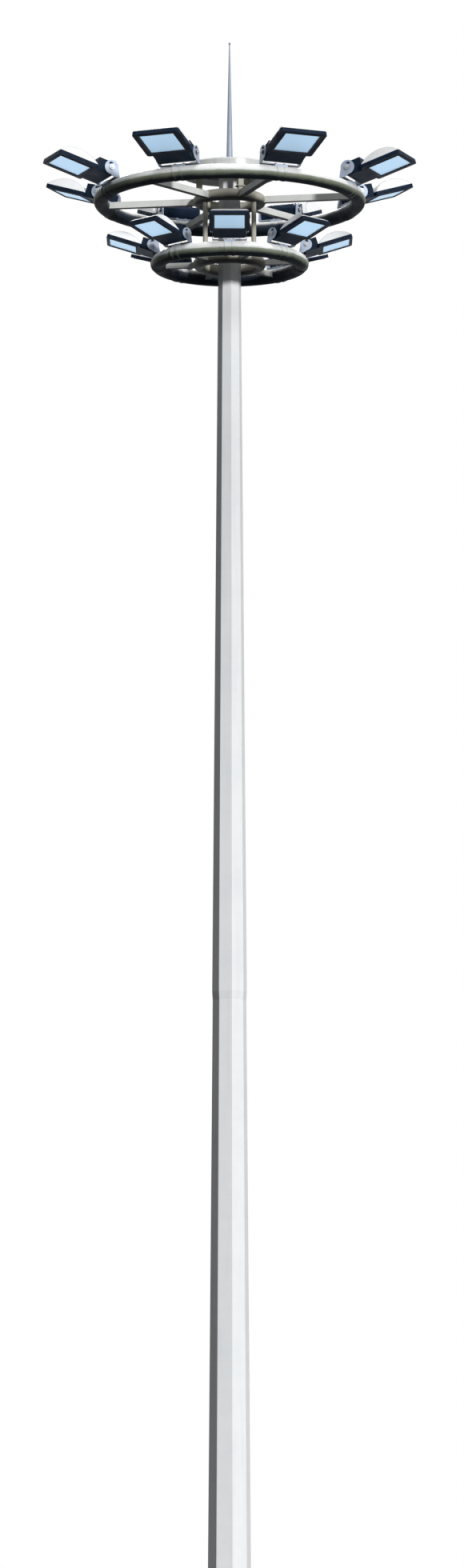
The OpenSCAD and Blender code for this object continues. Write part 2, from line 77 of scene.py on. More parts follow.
# Mast, door and hood
MAST_FACES = 8
MAST_TURN = math.radians(8)
MAST_TOP_Z = 17.885
MAST_FOOT_D = 0.509
MAST_TOP_D = 0.235
FLAT_RATIO = math.cos(math.pi / MAST_FACES)
SLIP_STEP = 0.0063 / FLAT_RATIO
SLIP_Z = 8.800
MAST_SLOPE = (MAST_FOOT_D / 2 - MAST_TOP_D / 2 + SLIP_STEP) / MAST_TOP_Z
FACE_LEAN = math.atan(MAST_SLOPE * FLAT_RATIO)
FLANGE_T = 0.030
DOOR_FACE = 0
DOOR_Z = 0.950
DOOR_T = 0.006
HOOD_Z = 17.9702
HOOD_R = 0.540
HOOD_T = 0.004
HOOD_SKIRT = 0.080
HOOD_TOP = HOOD_Z + HOOD_T
ARM_TURNS = [math.radians(20 + 120 * arm) for arm in range(3)]
SPIRE_FOOT_TOP = HOOD_Z + 0.069


# Selection and modelling steps

def rest_all():
    """Leaves edit mode and deselects everything."""
    if bpy.context.mode != "OBJECT":
        bpy.ops.object.mode_set(mode="OBJECT")
    bpy.ops.object.select_all(action="DESELECT")


def hold(piece):
    """Selects one piece alone and makes it the active one."""
    rest_all()
    piece.select_set(True)
    bpy.context.view_layer.objects.active = piece


def take(name):
    """Names the piece just added and returns it."""
    piece = bpy.context.object
    piece.name = name
    piece.data.name = name
    return piece


def settle(piece):
    """Puts the piece's place, turn and size into its mesh."""
    hold(piece)
    bpy.ops.object.transform_apply(location=True, rotation=True, scale=True)


def bisect(piece, point, normal, inner=False, outer=False, fill=False):
    """Cuts the piece with a plane and drops one side of it."""
    hold(piece)
    bpy.ops.object.mode_set(mode="EDIT")
    bpy.ops.mesh.select_all(action="SELECT")
    bpy.ops.mesh.bisect(plane_co=point, plane_no=normal, clear_inner=inner, clear_outer=outer,
                        use_fill=fill)
    bpy.ops.object.mode_set(mode="OBJECT")


def modify(piece, kind, **values):
    """Adds a modifier with the values given and applies it."""
    hold(piece)
    modifier = piece.modifiers.new(kind.title(), kind)
    for key, value in values.items():
        setattr(modifier, key, value)
    bpy.ops.object.modifier_apply(modifier=modifier.name)


def round_edges(piece, width, segments=2):
    """Rounds the edges that turn by more than 35 degrees."""
    modify(piece, "BEVEL", width=width, segments=segments, limit_method="ANGLE",
           angle_limit=math.radians(35))


def smooth(piece, angle=32):
    """Shades the piece smooth, with sharp edges past an angle in degrees."""
    hold(piece)
    bpy.ops.object.shade_smooth_by_angle(angle=math.radians(angle))


def face_outwards(piece):
    """Merges doubles and turns every face outwards."""
    hold(piece)
    bpy.ops.object.mode_set(mode="EDIT")
    bpy.ops.mesh.select_all(action="SELECT")
    bpy.ops.mesh.remove_doubles(threshold=0.00005)
    bpy.ops.mesh.normals_make_consistent(inside=False)
    bpy.ops.object.mode_set(mode="OBJECT")


def looks_up(face):
    """Tells whether a face looks up."""
    return face.normal.z > 0.9


def looks_down(face):
    """Tells whether a face looks down."""
    return face.normal.z < -0.9


def choose_faces(piece, chosen):
    """Opens the piece in edit mode, with the faces selected that a test chooses."""
    hold(piece)
    bpy.ops.object.mode_set(mode="EDIT")
    bpy.ops.mesh.select_mode(type="FACE")
    bpy.ops.mesh.select_all(action="DESELECT")
    bpy.ops.object.mode_set(mode="OBJECT")
    for face in piece.data.polygons:
        face.select = chosen(face)
    bpy.ops.object.mode_set(mode="EDIT")


def open_faces(piece, chosen):
    """Deletes the faces that a test chooses."""
    choose_faces(piece, chosen)
    bpy.ops.mesh.delete(type="FACE")
    bpy.ops.object.mode_set(mode="OBJECT")


def rod(name, sides, radius, length, place, turn=(0, 0, 0), ends="NGON"):
    """Round or many-sided rod, which the caller shapes further."""
    rest_all()
    bpy.ops.mesh.primitive_cylinder_add(vertices=sides, radius=radius, depth=length, end_fill_type=ends,
                                        location=place, rotation=turn)
    piece = take(name)
    settle(piece)
    return piece


def rounded_block(name, size, place, rounding, segments=2):
    """Block with rounded edges."""
    rest_all()
    bpy.ops.mesh.primitive_cube_add(size=1, location=place, scale=size)
    piece = take(name)
    settle(piece)
    round_edges(piece, rounding, segments)
    return piece


def join(pieces, name):
    """Joins pieces into the first one."""
    rest_all()
    for piece in pieces:
        piece.select_set(True)
    bpy.context.view_layer.objects.active = pieces[0]
    if len(pieces) > 1:
        bpy.ops.object.join()
    return take(name)


def copy_to(model, name, place, body):
    """Copies a modelled piece, with its own mesh, to a place and lets it ride on a body."""
    piece = model.copy()
    piece.data = model.data.copy()
    piece.name = name
    piece.data.name = name
    bpy.context.scene.collection.objects.link(piece)
    piece.data.transform(place)
    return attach(piece, body)


def discard(model):
    """Removes a model whose copies are in place."""
    hold(model)
    bpy.ops.object.delete()


# Places of the lamps

def azimuth(angle):
    """Turns the outward radius to an azimuth counted from the front."""
    return Matrix.Rotation(angle - math.pi / 2, 4, "Z")


def lamp_places():
    """Yields each lamp's body, its ring's frame, its strap's frame and its own tilted frame."""
    tiers = (("upper", UPPER_R, UPPER_Z, 0.5, 1.0), ("lower", LOWER_R, LOWER_Z, 0.0, LOWER_SHARE))
    for tier, radius, height, first, share in tiers:
        for index in range(LAMPS_A_RING):
            turn = azimuth(math.radians(360 / LAMPS_A_RING * (index + first)))
            ring = turn @ Matrix.Translation((radius, 0, height))
            strap = ring @ Matrix.Translation((0, 0, STRAP_Z)) @ Matrix.Scale(share, 4)
            pivot = strap @ Matrix.Translation((PIVOT_OUT, 0, PIVOT_UP - STRAP_Z))
            tilted = pivot @ Matrix.Rotation(-LAMP_TILT, 4, "Y")
            yield f"{tier}_lamp_{index + 1}", ring, strap, tilted


# Shader groups

# Where each mark begins and where it is full: by noise, by the normal's height or by its outward share
NOISE_SPAN = (0.3, 0.7)
TONE_SPAN = (0.35, 0.7)
STREAK_SPAN = (0.52, 0.78)
# Faces that look down take an olive painted shade with a painted green ground reflection, then a near black
# painted shade with some soot; inward faces take a navy painted shade.
OLIVE_SHADE_SPAN = (0.20, -0.12)
SOOT_SHADE_SPAN = (-0.22, -0.68)
INWARD_SPAN = (0.35, -0.25)
TOP_SPAN = (0.75, 0.25)
EDGE_UNREST = 0.12
STREAK_STRETCH = (9.0, 9.0, 0.45)
SOOT_ROUGHENS = 0.3

# Colours of the painted shade: olive with a painted ground reflection, near black, and navy.
OLIVE_SHADE_TONE = (0.185, 0.212, 0.142)
SOOT_SHADE_BLACK = (0.005, 0.008, 0.014)
INWARD_SHADE_NAVY = (0.006, 0.012, 0.026)
# Pale blue of the glass: a painted sky reflection, a little lighter where dust lies.
GLASS_SKY_BLUE = (0.55, 0.78, 1.0)
GLASS_DUSTY_SKY_BLUE = (0.59, 0.81, 1.0)
GLASS_ROUGHNESS = (0.40, 0.46)


def new_group(name, inputs, outputs):
    """Makes an empty shader group with named inputs and outputs."""
    group = bpy.data.node_groups.new(name, "ShaderNodeTree")
    for label, value in inputs:
        socket = group.interface.new_socket(label, in_out="INPUT", socket_type="NodeSocketFloat")
        socket.default_value = value
    for label in outputs:
        group.interface.new_socket(label, in_out="OUTPUT", socket_type="NodeSocketFloat")
    enter = group.nodes.new("NodeGroupInput")
    leave = group.nodes.new("NodeGroupOutput")
    return group, enter, leave


def place_group(tree, group, **values):
    """Places a shader group in a material with its own values."""
    node = tree.nodes.new("ShaderNodeGroup")
    node.node_tree = group
    for key, value in values.items():
        node.inputs[key].default_value = value
    return node


def add(tree, kind, **values):
    """Adds a node and sets its properties, then its unlinked inputs by name."""
    node = tree.nodes.new(kind)
    for key, value in values.items():
        if hasattr(node, key):
            setattr(node, key, value)
        else:
            node.inputs[key].default_value = value
    return node


def blend_colours(tree, factor, first, second):
    """Mixes two colours, each a socket or a colour, by a factor socket."""
    mix = tree.nodes.new("ShaderNodeMix")
    mix.data_type = "RGBA"
    tree.links.new(factor, mix.inputs[0])
    for source, target in ((first, mix.inputs[6]), (second, mix.inputs[7])):
        if isinstance(source, bpy.types.NodeSocket):
            tree.links.new(source, target)
        else:
            target.default_value = (*source, 1)
    return mix.outputs[2]


def span(tree, source, low, high, to_low=0.0, to_high=1.0):
    """Maps a value from one range to another, clamped."""
    node = tree.nodes.new("ShaderNodeMapRange")
    tree.links.new(source, node.inputs[0])
    node.inputs[1].default_value = low
    node.inputs[2].default_value = high
    node.inputs[3].default_value = to_low
    node.inputs[4].default_value = to_high
    return node.outputs[0]


def times(tree, first, second, operation="MULTIPLY", clamp=True):
    """Multiplies two values, or joins them by another operation."""
    node = tree.nodes.new("ShaderNodeMath")
    node.operation = operation
    node.use_clamp = clamp
    for index, source in enumerate((first, second)):
        if isinstance(source, bpy.types.NodeSocket):
            tree.links.new(source, node.inputs[index])
        else:
            node.inputs[index].default_value = source
    return node.outputs[0]


def outward_share(group, place):
    """How far a face looks away from the mast's axis: 1 outwards, -1 inwards."""
    level = add(group, "ShaderNodeVectorMath", operation="MULTIPLY")
    level.inputs[1].default_value = (1, 1, 0)
    group.links.new(place.outputs["Object"], level.inputs[0])
    radius = add(group, "ShaderNodeVectorMath", operation="NORMALIZE")
    group.links.new(level.outputs[0], radius.inputs[0])
    outward = add(group, "ShaderNodeVectorMath", operation="DOT_PRODUCT")
    group.links.new(radius.outputs[0], outward.inputs[0])
    group.links.new(place.outputs["Normal"], outward.inputs[1])
    return outward.outputs["Value"]


def rain_marks_and_shade_group():
    """Mottling, streaks that run down, olive painted shade with a painted ground reflection and near black
    painted shade with soot on faces that look down, navy painted shade on inward faces.
    """
    group, enter, leave = new_group(
        "rain marks and painted shade",
        [("Scale", 1.0), ("Film", 0.5), ("Soot", 0.5), ("Streaks", 0.3), ("Inward", 0.0)],
        ["Mottle", "Film", "Soot", "Streaks", "Inward"])
    place = add(group, "ShaderNodeTexCoord")
    stretched = add(group, "ShaderNodeMapping", Scale=STREAK_STRETCH)
    group.links.new(place.outputs["Object"], stretched.inputs["Vector"])
    streak = add(group, "ShaderNodeTexNoise", Detail=5.0, Roughness=0.6)
    group.links.new(stretched.outputs[0], streak.inputs["Vector"])
    group.links.new(enter.outputs["Scale"], streak.inputs["Scale"])
    mottle = add(group, "ShaderNodeTexNoise", Scale=3.2, Detail=6.0, Roughness=0.62)
    group.links.new(place.outputs["Object"], mottle.inputs["Vector"])
    facing = add(group, "ShaderNodeSeparateXYZ")
    group.links.new(place.outputs["Normal"], facing.inputs[0])
    unrest = span(group, mottle.outputs["Fac"], *NOISE_SPAN, -EDGE_UNREST, EDGE_UNREST)
    ragged = times(group, facing.outputs["Z"], unrest, "ADD", False)
    # Olive painted shade, with a painted green ground reflection, on faces that look down.
    olive_shade = times(group, span(group, ragged, *OLIVE_SHADE_SPAN), enter.outputs["Film"])
    # Near black painted shade, with some soot, on faces that look down further.
    soot_and_shade = times(group, span(group, ragged, *SOOT_SHADE_SPAN), enter.outputs["Soot"])
    runs = times(group, span(group, streak.outputs["Fac"], *STREAK_SPAN), enter.outputs["Streaks"])
    # Navy painted shade on faces that look in towards the mast, but not on faces that look up.
    uneven = times(group, outward_share(group, place), unrest, "ADD", False)
    inward = times(group, span(group, uneven, *INWARD_SPAN), enter.outputs["Inward"])
    inward = times(group, inward, span(group, ragged, *TOP_SPAN))
    group.links.new(mottle.outputs["Fac"], leave.inputs["Mottle"])
    group.links.new(olive_shade, leave.inputs["Film"])
    group.links.new(soot_and_shade, leave.inputs["Soot"])
    group.links.new(runs, leave.inputs["Streaks"])
    group.links.new(inward, leave.inputs["Inward"])
    return group


def fine_grain_group():
    """Fine grain of sprayed paint or of a cast skin, as a height and a roughness shift."""
    group, enter, leave = new_group("fine grain", [("Size", 220.0)], ["Height", "Shift"])
    place = add(group, "ShaderNodeTexCoord")
    grain = add(group, "ShaderNodeTexNoise", Detail=3.0, Roughness=0.55)
    group.links.new(place.outputs["Object"], grain.inputs["Vector"])
    group.links.new(enter.outputs["Size"], grain.inputs["Scale"])
    broad = add(group, "ShaderNodeTexNoise", Scale=7.0, Detail=4.0)
    group.links.new(place.outputs["Object"], broad.inputs["Vector"])
    group.links.new(grain.outputs["Fac"], leave.inputs["Height"])
    group.links.new(broad.outputs["Fac"], leave.inputs["Shift"])
    return group


RAIN_MARKS_AND_SHADE = rain_marks_and_shade_group()
FINE_GRAIN = fine_grain_group()


# Finishes

def weathered_with_shade(name, colour, deep, dirt, roughness=(0.28, 0.45), metallic=0.0, olive_shade=0.0, soot_and_shade=0.4,
              streaks=0.3, inward=0.0, scale=1.0, grain=220.0, bump=0.02, gloss=0.5):
    """Paint or metal with mottling, rain streaks, olive painted shade with a painted ground reflection and
    near black painted shade with soot underneath, and navy painted shade on inward faces.
    """
    material = bpy.data.materials.new(name)
    material.use_nodes = True
    tree = material.node_tree
    shader = tree.nodes["Principled BSDF"]
    marks = place_group(tree, RAIN_MARKS_AND_SHADE, Scale=scale, Film=olive_shade, Soot=soot_and_shade, Streaks=streaks, Inward=inward)
    fine = place_group(tree, FINE_GRAIN, Size=grain)
    tone = blend_colours(tree, span(tree, marks.outputs["Mottle"], *TONE_SPAN), colour, deep)
    tone = blend_colours(tree, marks.outputs["Streaks"], tone, dirt)
    # Olive painted shade with a painted green ground reflection on faces that look down.
    tone = blend_colours(tree, marks.outputs["Film"], tone, OLIVE_SHADE_TONE)
    # Navy painted shade on inward faces.
    tone = blend_colours(tree, marks.outputs["Inward"], tone, INWARD_SHADE_NAVY)
    # Near black painted shade with some soot under things, where faces look down.
    tone = blend_colours(tree, marks.outputs["Soot"], tone, SOOT_SHADE_BLACK)
    tree.links.new(tone, shader.inputs["Base Color"])
    base = span(tree, fine.outputs["Shift"], *NOISE_SPAN, *roughness)
    rough = times(tree, base, times(tree, marks.outputs["Soot"], SOOT_ROUGHENS), "ADD")
    tree.links.new(rough, shader.inputs["Roughness"])
    shader.inputs["Metallic"].default_value = metallic
    shader.inputs["Specular IOR Level"].default_value = gloss
    relief = add(tree, "ShaderNodeBump", Strength=bump, Distance=0.002)
    tree.links.new(fine.outputs["Height"], relief.inputs["Height"])
    tree.links.new(relief.outputs["Normal"], shader.inputs["Normal"])
    material.diffuse_color = (*colour, 1)
    return material


def coated_glass():
    """Toughened satin lamp glass, nearly a mirror, tinted pale blue as a painted sky reflection, with faint
    dust.
    """
    material = bpy.data.materials.new("lamp glass")
    material.use_nodes = True
    tree = material.node_tree
    shader = tree.nodes["Principled BSDF"]
    shader.inputs["Transmission Weight"].default_value = 0.95
    shader.inputs["IOR"].default_value = 1.5
    shader.inputs["Metallic"].default_value = 0.92
    marks = place_group(tree, RAIN_MARKS_AND_SHADE, Scale=2.0, Film=0.0, Soot=0.0, Streaks=0.4)
    # Pale blue painted sky reflection, lighter where dust streaks run.
    tone = blend_colours(tree, marks.outputs["Streaks"], GLASS_SKY_BLUE, GLASS_DUSTY_SKY_BLUE)
    tree.links.new(tone, shader.inputs["Base Color"])
    rough = span(tree, marks.outputs["Mottle"], *NOISE_SPAN, *GLASS_ROUGHNESS)
    tree.links.new(rough, shader.inputs["Roughness"])
    return material


# The values for faces that look down and for inward faces set how much painted shade each finish takes.
PAINT = {
    "mast": weathered_with_shade("mast paint", (0.88, 0.89, 0.90), (0.83, 0.85, 0.87), (0.50, 0.51, 0.51),
                      soot_and_shade=0.2, streaks=0.18, scale=1.2, gloss=0.08),
    "base": weathered_with_shade("base paint", (0.68, 0.69, 0.69), (0.54, 0.54, 0.52), (0.27, 0.23, 0.17),
                      roughness=(0.4, 0.6), streaks=0.6, gloss=0.3),
    "hood": weathered_with_shade("hood paint", (0.70, 0.71, 0.71), (0.60, 0.61, 0.61), (0.26, 0.26, 0.23),
                      olive_shade=0.25, soot_and_shade=0.8, streaks=0.45, scale=2.0),
    "spire": weathered_with_shade("spire metal", (0.36, 0.40, 0.48), (0.28, 0.32, 0.40), (0.20, 0.21, 0.25),
                       roughness=(0.4, 0.55), metallic=0.15, soot_and_shade=0.2, streaks=0.4, gloss=0.2),
    "carriage": weathered_with_shade("carriage paint", (0.88, 0.89, 0.88), (0.82, 0.83, 0.82), (0.32, 0.33, 0.28),
                          olive_shade=0.92, soot_and_shade=0.97, streaks=0.15, inward=0.95, gloss=0.03),
    "spoke": weathered_with_shade("spoke paint", (0.86, 0.87, 0.86), (0.78, 0.79, 0.77), (0.32, 0.33, 0.28),
                       olive_shade=0.40, soot_and_shade=0.97, streaks=0.2, gloss=0.08),
    "hub": weathered_with_shade("hub paint", (0.56, 0.53, 0.46), (0.47, 0.45, 0.39), (0.22, 0.20, 0.15),
                     olive_shade=0.30, soot_and_shade=0.94, gloss=0.10),
    "yoke": weathered_with_shade("yoke zinc", (0.42, 0.48, 0.58), (0.31, 0.37, 0.47), (0.12, 0.13, 0.16),
                      roughness=(0.36, 0.54), metallic=0.3, soot_and_shade=0.8, gloss=0.25),
    "lamp": weathered_with_shade("lamp casting", (0.007, 0.017, 0.038), (0.005, 0.011, 0.024), (0.020, 0.024, 0.030),
                      roughness=(0.55, 0.70), soot_and_shade=0.0, grain=420.0, bump=0.05, gloss=0.09),
    "dome": weathered_with_shade("lamp back paint", (0.84, 0.85, 0.86), (0.77, 0.79, 0.81), (0.42, 0.42, 0.40),
                      roughness=(0.5, 0.65), soot_and_shade=0.2, streaks=0.30, scale=3.0, gloss=0.15),
    "reflector": weathered_with_shade("lamp reflector", (0.93, 0.94, 0.95), (0.88, 0.90, 0.92), (0.80, 0.80, 0.78),
                           roughness=(0.42, 0.54), metallic=1.0, soot_and_shade=0.0, streaks=0.1, bump=0.0),
    "bolt": weathered_with_shade("zinc bolts", (0.46, 0.47, 0.49), (0.34, 0.35, 0.37), (0.22, 0.15, 0.09),
                      roughness=(0.3, 0.5), metallic=0.8, soot_and_shade=0.3),
    "rubber": weathered_with_shade("window gasket", (0.012, 0.014, 0.018), (0.020, 0.021, 0.024), (0.05, 0.05, 0.05),
                        roughness=(0.55, 0.75), soot_and_shade=0.0, streaks=0.2, grain=600.0, gloss=0.15),
    "weld": weathered_with_shade("painted weld", (0.80, 0.81, 0.82), (0.70, 0.71, 0.72), (0.40, 0.38, 0.34),
                      roughness=(0.35, 0.55), streaks=0.4, grain=160.0, bump=0.25),
    "quartz": weathered_with_shade("lamp tube", (0.90, 0.91, 0.90), (0.85, 0.86, 0.84), (0.80, 0.79, 0.74),
                        roughness=(0.12, 0.22), metallic=0.9, soot_and_shade=0.0, streaks=0.0, bump=0.0),
}
GLASS = coated_glass()


def paint(piece, material):
    """Gives a piece one material."""
    piece.data.materials.clear()
    piece.data.materials.append(material)


NODE_PAINT = {
    "mast_lower_section": "mast", "mast_upper_section": "mast", "service_door": "mast",
    "base_flange": "base", "base_gussets": "base",
    "head_frame": "hood", "head_hood": "hood", "docking_legs": "hub", "spire": "spire",
    "upper_ring": "carriage", "lower_ring": "carriage",
    "upper_spokes": "spoke", "lower_spokes": "spoke",
    "upper_hub": "hub", "lower_hub": "hub", "hub_posts": "hub",
    "upper_yokes": "yoke", "lower_yokes": "yoke",
}
for node_name, node in nodes.items():
    if node_name.endswith("_glass"):
        paint(node, GLASS)
    elif node_name.endswith("_housing"):
        paint(node, PAINT["lamp"])
    else:
        paint(node, PAINT[NODE_PAINT[node_name]])


# Lamp fittings, modelled in a lamp's own frame

ALONG_PINS = (math.pi / 2, 0, 0)
SKIN_OUT = 0.0022
SKIN_LIFT = 0.0004
SKIN_T = 0.0016
SKIN_ROUND = 0.010
PAN_FOOT = -0.0815
PAN_H = 0.042
PAN_MARGIN = 0.014
PAN_DRAW = (0.80, 0.82, 1)
PAN_ROUND = 0.022
PAN_T = 0.001
TUBE_Z = -0.058
TUBE_R = 0.008
TUBE_L = 0.20
TUBE_ROUND = 0.004
HOLDER = (0.020, 0.024, 0.022)
HOLDER_OUT = 0.112
HOLDER_ROUND = 0.004
SEAL_MARGIN = 0.040
SEAL_W = 0.019
SEAL_T = 0.005
SEAL_LIFT = 0.0005
SEAL_ROUND = 0.0018
GLAND = (0.034, 0.014)
GLAND_AT = (GEAR_BACK, 0.120, -0.012)
CLIP = (0.046, 0.007, 0.034)
CLIP_SHARES = (0.27, 0.73)
CLIP_OUT = FRAME_W / 2 + 0.002
CLIP_Z = -0.070
CLIP_ROUND = 0.003
PIN_BOLT = (0.030, 0.012)
LID_SCREW = (0.015, 0.006)
LID_SCREWS_ALONG = (-0.008, 0.135)
LID_SCREW_OUT = 0.186
BANDS_ALONG = (-0.042, 0.042)
BAND_W = 0.032
BAND_OUT = 0.0045
BAND_T = 0.0035
BAND_TOP = 0.0679
BAND_ROUND = 0.001
STRAP_BOLT = (0.024, 0.010)
STRAP_BOLTS_ALONG = (-0.05, 0.05)

# Shares of a bolt head's width across flats and of its height
WASHER_R_SHARE = 0.95
WASHER_T_SHARE = 0.3
HEAD_CORNER_SHARE = 0.577
HEAD_MID_SHARE = 0.75
HEAD_ROUND_SHARE = 0.12


def vault(name, radius, drop, inset):
    """Open barrel vault with drawn-in ends: the lamp back's form."""
    piece = rod(name, 144, radius, FRAME_W, (FRAME_MID, 0, DOME_AXIS), ALONG_PINS)
    bisect(piece, (0, 0, drop), (0, 0, 1), inner=True, fill=True)
    foot = FRAME_W / 2 - DOME_STEP - inset
    for side in (-1, 1):
        bisect(piece, (0, side * foot, FRAME_TOP), (0, side * DOME_H, DOME_DRAFT), outer=True, fill=True)
    face_outwards(piece)
    open_faces(piece, looks_down)
    return piece


def lamp_back():
    """Painted skin over the domed back."""
    skin = vault("lamp_back", DOME_R + SKIN_OUT, FRAME_TOP + SKIN_LIFT, -SKIN_OUT)
    round_edges(skin, SKIN_ROUND, 3)
    modify(skin, "SOLIDIFY", thickness=SKIN_T, offset=-1.0)
    smooth(skin)
    paint(skin, PAINT["dome"])
    return skin


def lamp_reflector():
    """Bright pan behind the glass, drawn in towards its top."""
    rest_all()
    bpy.ops.mesh.primitive_cube_add(size=1, location=(WINDOW_MID, 0, PAN_FOOT + PAN_H / 2),
                                    scale=(WINDOW_L + PAN_MARGIN, WINDOW_W + PAN_MARGIN, PAN_H))
    pan = take("lamp_reflector")
    settle(pan)
    open_faces(pan, looks_down)
    choose_faces(pan, looks_up)
    bpy.ops.transform.resize(value=PAN_DRAW, center_override=(WINDOW_MID, 0, 0))
    bpy.ops.object.mode_set(mode="OBJECT")
    round_edges(pan, PAN_ROUND, 5)
    modify(pan, "SOLIDIFY", thickness=PAN_T, offset=1.0)
    smooth(pan, 40)
    paint(pan, PAINT["reflector"])
    return pan


def lamp_tube():
    """Double-ended lamp across the reflector, with its two holders."""
    tube = rod("lamp_tube", 24, TUBE_R, TUBE_L, (WINDOW_MID, 0, TUBE_Z), ALONG_PINS)
    round_edges(tube, TUBE_ROUND, 3)
    ends = []
    for side in (-1, 1):
        spot = (WINDOW_MID, side * HOLDER_OUT, TUBE_Z)
        ends.append(rounded_block("lamp_holder", HOLDER, spot, HOLDER_ROUND))
    tube = join([tube, *ends], "lamp_tube")
    smooth(tube)
    paint(tube, PAINT["quartz"])
    return tube


def hexagon_head(name, place, across, height, axis):
    """Hexagon bolt head with its washer, standing along an axis."""
    turn = {"X": (0, math.pi / 2, 0), "Y": (-math.pi / 2, 0, 0), "Z": (0, 0, 0)}[axis[-1]]
    sign = -1 if axis[0] == "-" else 1
    step = {"X": Vector((1, 0, 0)), "Y": Vector((0, 1, 0)), "Z": Vector((0, 0, 1))}[axis[-1]] * sign
    foot = Vector(place)
    washer = rod(name, 28, across * WASHER_R_SHARE, height * WASHER_T_SHARE,
                 foot + step * height * WASHER_T_SHARE / 2, turn)
    head = rod(name, 6, across * HEAD_CORNER_SHARE, height, foot + step * height * HEAD_MID_SHARE, turn)
    round_edges(head, height * HEAD_ROUND_SHARE, 1)
    return join([washer, head], name)


def window_gasket():
    """Raised seal round the window, on the front frame's face."""
    rest_all()
    bpy.ops.mesh.primitive_plane_add(size=1, location=(WINDOW_MID, 0, -FACE_DROP - SEAL_LIFT))
    seal = take("window_gasket")
    seal.scale = (WINDOW_L + SEAL_MARGIN, WINDOW_W + SEAL_MARGIN, 1)
    settle(seal)
    bpy.ops.object.mode_set(mode="EDIT")
    bpy.ops.mesh.select_all(action="SELECT")
    bpy.ops.mesh.inset(thickness=SEAL_W)
    bpy.ops.mesh.delete(type="FACE")
    bpy.ops.object.mode_set(mode="OBJECT")
    modify(seal, "SOLIDIFY", thickness=SEAL_T, offset=-1.0)
    face_outwards(seal)
    round_edges(seal, SEAL_ROUND)
    smooth(seal)
    paint(seal, PAINT["rubber"])
    return seal


def casting_trim():
    """Clips of the front frame and the cable gland behind the gear box."""
    pieces = [hexagon_head("gland", GLAND_AT, *GLAND, "-X")]
    for side in (-1, 1):
        for along in CLIP_SHARES:
            spot = (FRAME_U + along * FRAME_L, side * CLIP_OUT, CLIP_Z)
            pieces.append(rounded_block("clip", CLIP, spot, CLIP_ROUND))
    trim = join(pieces, "casting_trim")
    smooth(trim)
    paint(trim, PAINT["lamp"])
    return trim


def lamp_fasteners():
    """Trunnion bolts and gear box screws of one lamp."""
    pieces = []
    for side in (-1, 1):
        axis = "Y" if side > 0 else "-Y"
        pieces.append(hexagon_head("bolt", (0, side * KNOB_FACE, 0), *PIN_BOLT, axis))
        for along in LID_SCREWS_ALONG:
            pieces.append(hexagon_head("bolt", (along, side * LID_SCREW_OUT, GEAR_TOP), *LID_SCREW, "Z"))
    fasteners = join(pieces, "lamp_fasteners")
    smooth(fasteners)
    paint(fasteners, PAINT["bolt"])
    return fasteners


def yoke_clamps():
    """Two bands that hold a saddle on the ring pipe."""
    pieces = []
    for along in BANDS_ALONG:
        band = rod("band", 64, PIPE_R + BAND_OUT, BAND_W, (0, along, 0), ALONG_PINS, "NOTHING")
        bisect(band, (0, 0, BAND_TOP), (0, 0, 1), outer=True)
        modify(band, "SOLIDIFY", thickness=BAND_T, offset=-1.0)
        round_edges(band, BAND_ROUND, 1)
        pieces.append(band)
    clamps = join(pieces, "yoke_clamps")
    smooth(clamps)
    paint(clamps, PAINT["carriage"])
    return clamps


def strap_bolts():
    """Bolts that stand on a yoke's strap."""
    bolts = [hexagon_head("bolt", (0, along, YOKE_T), *STRAP_BOLT, "Z") for along in STRAP_BOLTS_ALONG]
    bolts = join(bolts, "strap_bolts")
    smooth(bolts)
    paint(bolts, PAINT["bolt"])
    return bolts


def dress_lamps():
    """Sets one of each fitting on every lamp and yoke."""
    back = lamp_back()
    trough = lamp_reflector()
    tube = lamp_tube()
    fasteners = lamp_fasteners()
    clamps = yoke_clamps()
    bolts = strap_bolts()
    seal = window_gasket()
    trim = casting_trim()
    for lamp, ring, strap, tilted in lamp_places():
        copy_to(back, f"{lamp}_back", tilted, lamp)
        copy_to(trough, f"{lamp}_reflector", tilted, lamp)
        copy_to(tube, f"{lamp}_tube", tilted, lamp)
        copy_to(fasteners, f"{lamp}_fasteners", tilted, lamp)
        copy_to(seal, f"{lamp}_gasket", tilted, lamp)
        copy_to(trim, f"{lamp}_trim", tilted, lamp)
        copy_to(clamps, f"{lamp}_clamps", ring, "carriage")
        copy_to(bolts, f"{lamp}_strap_bolts", strap, "carriage")
    for model in (back, trough, tube, fasteners, clamps, bolts, seal, trim):
        discard(model)


dress_lamps()


# Fittings of the mast, its door and its head

COLLAR_T = 0.004
COLLAR_ROUND = 0.0006
FOOT_WELD_H = 0.018
FOOT_WELD_OUT = 0.016
FOOT_WELD_EDGE = 0.0005
SLIP_COLLAR_H = 0.080
SLIP_COLLAR_GAP = 0.0001
SLIP_COLLAR_FOOT = 0.0014
SLIP_COLLAR_INSET = 0.0003
SEAM_FACE = 5
SEAM_W = 0.011
SEAM_T = 0.003
SEAM_ROUND = 0.0013
LOWER_SEAM = (0.30, 8.76)
UPPER_SEAM = (8.83, 17.86)
DOOR_SCREW = (0.013, 0.005)
DOOR_SCREWS_ALONG = (-0.245, -0.082, 0.082, 0.245)
DOOR_SCREW_OUT = 0.062
LOCK_R = 0.017
LOCK_T = 0.007
LOCK_OUT = 0.044
LOCK_ROUND = 0.0015
LOCK_BAR = (0.022, 0.005, 0.003)
LOCK_BAR_LIFT = 0.0078
LOCK_BAR_ROUND = 0.0008
DRIP_H = 0.016
DRIP_OUT = 0.0035
DRIP_T = 0.0034
DRIP_ROUND = 0.0012
HOOD_SEAM = (0.216, 0.010, 0.010)
HOOD_SEAM_OUT = 0.413
HOOD_SEAM_LIFT = 0.004
HOOD_SEAM_ROUND = 0.003
HOOD_SEAM_TURNS = [math.radians(50 + 60 * seam) for seam in range(6)]
